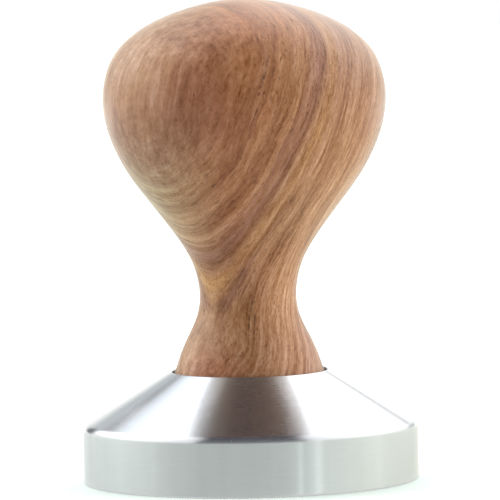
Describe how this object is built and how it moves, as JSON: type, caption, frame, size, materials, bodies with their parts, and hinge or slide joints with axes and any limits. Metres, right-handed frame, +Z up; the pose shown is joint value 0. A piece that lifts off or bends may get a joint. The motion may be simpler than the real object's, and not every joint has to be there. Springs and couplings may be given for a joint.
{
  "type": "espresso tamper",
  "caption": "Hand tamper: turned hardwood knob that screws down onto a conical stainless base with a flat pressing face.",
  "frame": {"origin": "centre of the flat pressing face, on the tool's axis", "axes": "+Z up the handle along the tool's axis; the tool is a turned shape, so X and Y are free, and X is taken across the front"},
  "size_m": [0.058, 0.058, 0.0832],
  "materials": {
    "stainless": "fine turned finish on the cone, satin on the rim",
    "wood": "oiled red-brown hardwood with dark and golden growth bands, satin",
    "brass": "machined",
    "rubber": "matt black",
    "screw_steel": "plain stainless, dull, with dark thread roots"
  },
  "bodies": {
    "base": {"tamper_base": "stainless", "set_screw": "screw_steel"},
    "washer": {"friction_washer": "rubber"},
    "grip": {"handle": "wood", "handle_insert": "brass"}
  },
  "joints": [
    {"name": "handle_lift", "type": "slide", "parent": "base", "child": "washer", "axis": [0, 0, 1], "range_m": [0, 0.01063]},
    {"name": "handle_unscrew", "type": "hinge", "parent": "washer", "child": "grip", "pos_m": [0, 0, 0.018], "axis": [0, 0, 1], "range_deg": [0, 3061]}
  ],
  "couplings": [
    {"joint": "handle_unscrew", "follows": "handle_lift", "rad_per_m": 5026.5}
  ]
}
